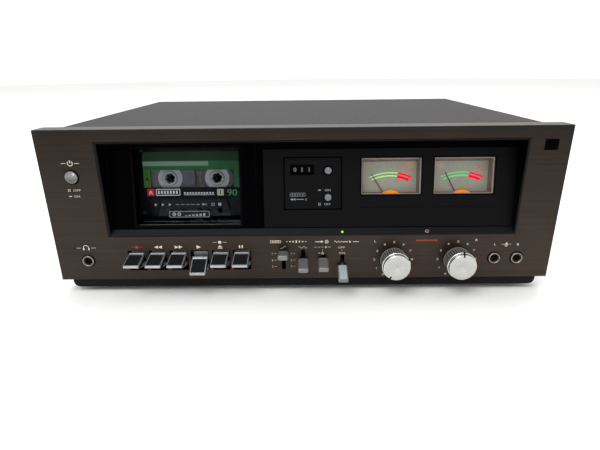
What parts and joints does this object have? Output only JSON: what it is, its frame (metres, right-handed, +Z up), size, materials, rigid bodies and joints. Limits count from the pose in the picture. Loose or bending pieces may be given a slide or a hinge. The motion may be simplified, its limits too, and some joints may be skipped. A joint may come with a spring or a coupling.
{
  "type": "cassette deck",
  "caption": "Front-loading cassette deck: leaning window with a hinged cassette door, needle meters and tape counter, piano keys, toggle levers and coaxial level knobs in a wide case.",
  "frame": {"origin": "centre of the bounding box's bottom face: halfway across the front panel, halfway between the lever tips in front and the phono sockets behind, on the plane the feet stand on", "axes": "+Z up, the front panel faces -Y, +X to the right of a person facing the front panel"},
  "size_m": [0.44, 0.3226, 0.1485],
  "materials": {
    "panel": "brushed, dark bronze anodised",
    "cover": "fine textured dark grey paint",
    "tray": "satin black",
    "black_plastic": "satin black",
    "fascia": "satin black",
    "chrome": "satin chrome",
    "lever": "satin grey",
    "knob_dark": "turned, dark anodised",
    "aluminium": "turned, bright",
    "steel": "nickel plated",
    "rubber": "matt",
    "clear": "clear, polished",
    "meter_face": "matt warm grey dial",
    "needle": "matt black",
    "digits": "matt black with pale figures",
    "led_green": "clear green, lit",
    "led_red": "clear red, unlit",
    "cassette": "smoked, smooth",
    "hub": "white moulding",
    "board": "green lacquer",
    "winding": "lacquered laminations and winding"
  },
  "bodies": {
    "root": {"front_panel": "panel", "window_bezel": "black_plastic", "top_cover": "cover", "base_tray": "tray", "rear_panel": "cover", "rear_sockets": "black_plastic", "cord_gland": "rubber", "foot_front_left": "rubber", "foot_front_right": "rubber", "foot_rear_left": "rubber", "foot_rear_right": "rubber", "lever_axle": "steel", "level_control_board": "board", "jack_phones": "steel", "jack_mic_left": "steel", "jack_mic_right": "steel", "instrument_fascia": "fascia", "meter_window": "clear", "meter_left_case": "meter_face", "meter_right_case": "meter_face", "counter_axle": "steel", "led_power": "led_green", "led_record": "led_red", "mechanism_chassis": "steel", "motor": "steel", "drive_belt": "rubber", "mains_transformer": "winding", "circuit_board": "board"},
    "power_button": {"power_button": "aluminium"},
    "key_record": {"key_record": "chrome"},
    "key_rewind": {"key_rewind": "chrome"},
    "key_fast_forward": {"key_fast_forward": "chrome"},
    "key_play": {"key_play": "chrome"},
    "key_stop_eject": {"key_stop_eject": "chrome"},
    "key_pause": {"key_pause": "chrome"},
    "lever_equaliser": {"lever_equaliser": "lever"},
    "lever_bias": {"lever_bias": "lever"},
    "lever_input": {"lever_input": "lever"},
    "lever_noise_filter": {"lever_noise_filter": "lever"},
    "knob_left_ring": {"knob_left_ring": "knob_dark"},
    "knob_left_disc": {"knob_left_disc": "aluminium"},
    "knob_right_ring": {"knob_right_ring": "knob_dark"},
    "knob_right_disc": {"knob_right_disc": "aluminium"},
    "meter_left_needle": {"meter_left_needle": "needle"},
    "meter_right_needle": {"meter_right_needle": "needle"},
    "counter_wheel_hundreds": {"counter_wheel_hundreds": "digits"},
    "counter_wheel_tens": {"counter_wheel_tens": "digits"},
    "counter_wheel_ones": {"counter_wheel_ones": "digits"},
    "counter_reset_button": {"counter_reset_button": "aluminium"},
    "memory_button": {"memory_button": "aluminium"},
    "door": {"door_frame": "black_plastic", "door_window": "clear", "cassette_shell": "cassette"},
    "reel_hub_left": {"reel_hub_left": "hub"},
    "reel_hub_right": {"reel_hub_right": "hub"},
    "spindle_supply": {"spindle_supply": "black_plastic"},
    "spindle_take_up": {"spindle_take_up": "black_plastic"},
    "flywheel": {"flywheel": "steel"},
    "motor_pulley": {"motor_pulley": "aluminium"},
    "head_carriage": {"head_carriage": "aluminium"}
  },
  "joints": [
    {"name": "power_button_slide", "type": "slide", "parent": "root", "child": "power_button", "axis": [0, 1, 0], "range_m": [-0.003, 0.001]},
    {"name": "key_record_hinge", "type": "hinge", "parent": "root", "child": "key_record", "pos_m": [-0.1483, -0.12684, 0.0354], "axis": [1, 0, 0], "range_deg": [0, 15], "stiffness_Nm_per_rad": 0.077, "springref_deg": -7.45},
    {"name": "key_rewind_hinge", "type": "hinge", "parent": "root", "child": "key_rewind", "pos_m": [-0.1295, -0.12684, 0.0354], "axis": [1, 0, 0], "range_deg": [0, 15], "stiffness_Nm_per_rad": 0.077, "springref_deg": -7.45},
    {"name": "key_fast_forward_hinge", "type": "hinge", "parent": "root", "child": "key_fast_forward", "pos_m": [-0.1107, -0.12684, 0.0354], "axis": [1, 0, 0], "range_deg": [0, 15], "stiffness_Nm_per_rad": 0.077, "springref_deg": -7.45},
    {"name": "key_play_hinge", "type": "hinge", "parent": "root", "child": "key_play", "pos_m": [-0.0919, -0.12684, 0.0354], "axis": [1, 0, 0], "range_deg": [-15, 0]},
    {"name": "key_stop_eject_hinge", "type": "hinge", "parent": "root", "child": "key_stop_eject", "pos_m": [-0.0731, -0.12684, 0.0354], "axis": [1, 0, 0], "range_deg": [0, 15], "stiffness_Nm_per_rad": 0.077, "springref_deg": -7.45},
    {"name": "key_pause_hinge", "type": "hinge", "parent": "root", "child": "key_pause", "pos_m": [-0.0543, -0.12684, 0.0354], "axis": [1, 0, 0], "range_deg": [0, 15], "stiffness_Nm_per_rad": 0.077, "springref_deg": -7.45},
    {"name": "lever_equaliser_hinge", "type": "hinge", "parent": "root", "child": "lever_equaliser", "pos_m": [-0.0171, -0.12324, 0.03195], "axis": [1, 0, 0], "range_deg": [0, 40]},
    {"name": "lever_bias_hinge", "type": "hinge", "parent": "root", "child": "lever_bias", "pos_m": [0.0004, -0.12324, 0.03195], "axis": [1, 0, 0], "range_deg": [-18, 22]},
    {"name": "lever_input_hinge", "type": "hinge", "parent": "root", "child": "lever_input", "pos_m": [0.018, -0.12324, 0.03195], "axis": [1, 0, 0], "range_deg": [0, 18.5]},
    {"name": "lever_noise_filter_hinge", "type": "hinge", "parent": "root", "child": "lever_noise_filter", "pos_m": [0.0353, -0.12324, 0.03195], "axis": [1, 0, 0], "range_deg": [-18.5, 0]},
    {"name": "knob_left_ring_turn", "type": "hinge", "parent": "root", "child": "knob_left_ring", "pos_m": [0.0808, -0.14124, 0.0315], "axis": [0, 1, 0], "range_deg": [-210, 90]},
    {"name": "knob_left_disc_turn", "type": "hinge", "parent": "root", "child": "knob_left_disc", "pos_m": [0.0808, -0.14124, 0.0315], "axis": [0, 1, 0], "range_deg": [0, 300]},
    {"name": "knob_right_ring_turn", "type": "hinge", "parent": "root", "child": "knob_right_ring", "pos_m": [0.1371, -0.14124, 0.0315], "axis": [0, 1, 0], "range_deg": [-154, 146]},
    {"name": "knob_right_disc_turn", "type": "hinge", "parent": "root", "child": "knob_right_disc", "pos_m": [0.1371, -0.14124, 0.0315], "axis": [0, 1, 0], "range_deg": [-150, 150]},
    {"name": "meter_left_needle_swing", "type": "hinge", "parent": "root", "child": "meter_left_needle", "pos_m": [0.0774, -0.12539, 0.07991], "axis": [0, 0.9848, -0.1736], "range_deg": [0, 66], "stiffness_Nm_per_rad": 0.00002, "springref_deg": -17.19},
    {"name": "meter_right_needle_swing", "type": "hinge", "parent": "root", "child": "meter_right_needle", "pos_m": [0.1403, -0.12539, 0.07991], "axis": [0, 0.9848, -0.1736], "range_deg": [0, 62], "stiffness_Nm_per_rad": 0.00002, "springref_deg": -17.19},
    {"name": "counter_ones_turn", "type": "hinge", "parent": "root", "child": "counter_wheel_ones", "pos_m": [0.0062, -0.11251, 0.108], "axis": [1, 0, 0], "continuous": true},
    {"name": "counter_tens_turn", "type": "hinge", "parent": "root", "child": "counter_wheel_tens", "pos_m": [0, -0.11251, 0.108], "axis": [1, 0, 0], "continuous": true},
    {"name": "counter_hundreds_turn", "type": "hinge", "parent": "root", "child": "counter_wheel_hundreds", "pos_m": [-0.0062, -0.11251, 0.108], "axis": [1, 0, 0], "continuous": true},
    {"name": "counter_reset_slide", "type": "slide", "parent": "root", "child": "counter_reset_button", "axis": [0, 0.9848, -0.1736], "range_m": [0, 0.002], "stiffness_N_per_m": 150, "springref_m": -0.002},
    {"name": "memory_slide", "type": "slide", "parent": "root", "child": "memory_button", "axis": [0, 0.9848, -0.1736], "range_m": [-0.0005, 0.0015]},
    {"name": "door_hinge", "type": "hinge", "parent": "root", "child": "door", "pos_m": [-0.104, -0.12924, 0.0604], "axis": [1, 0, 0], "range_deg": [0, 25]},
    {"name": "reel_hub_left_turn", "type": "hinge", "parent": "door", "child": "reel_hub_left", "pos_m": [-0.11945, -0.10256, 0.0988], "axis": [0, 0.9848, -0.1736], "continuous": true},
    {"name": "reel_hub_right_turn", "type": "hinge", "parent": "door", "child": "reel_hub_right", "pos_m": [-0.07695, -0.10256, 0.0988], "axis": [0, 0.9848, -0.1736], "continuous": true},
    {"name": "spindle_supply_turn", "type": "hinge", "parent": "root", "child": "spindle_supply", "pos_m": [-0.11945, -0.10256, 0.0988], "axis": [0, 0.9848, -0.1736], "continuous": true},
    {"name": "spindle_take_up_turn", "type": "hinge", "parent": "root", "child": "spindle_take_up", "pos_m": [-0.07695, -0.10256, 0.0988], "axis": [0, 0.9848, -0.1736], "continuous": true},
    {"name": "flywheel_turn", "type": "hinge", "parent": "root", "child": "flywheel", "pos_m": [-0.071, -0.1071, 0.07303], "axis": [0, 0.9848, -0.1736], "continuous": true},
    {"name": "motor_pulley_turn", "type": "hinge", "parent": "root", "child": "motor_pulley", "pos_m": [-0.128, -0.10684, 0.07451], "axis": [0, 0.9848, -0.1736], "continuous": true},
    {"name": "head_carriage_slide", "type": "slide", "parent": "root", "child": "head_carriage", "axis": [0, 0.1736, 0.9848], "range_m": [-0.006, 0]}
  ],
  "couplings": [
    {"joint": "reel_hub_left_turn", "follows": "spindle_supply_turn", "ratio": 1},
    {"joint": "reel_hub_right_turn", "follows": "spindle_take_up_turn", "ratio": 1},
    {"joint": "counter_ones_turn", "follows": "spindle_take_up_turn", "ratio": 0.05},
    {"joint": "counter_tens_turn", "follows": "spindle_take_up_turn", "ratio": 0.005},
    {"joint": "counter_hundreds_turn", "follows": "spindle_take_up_turn", "ratio": 0.0005},
    {"joint": "motor_pulley_turn", "follows": "flywheel_turn", "ratio": 5.737},
    {"joint": "head_carriage_slide", "follows": "key_play_hinge", "m_per_rad": 0.0229}
  ]
}
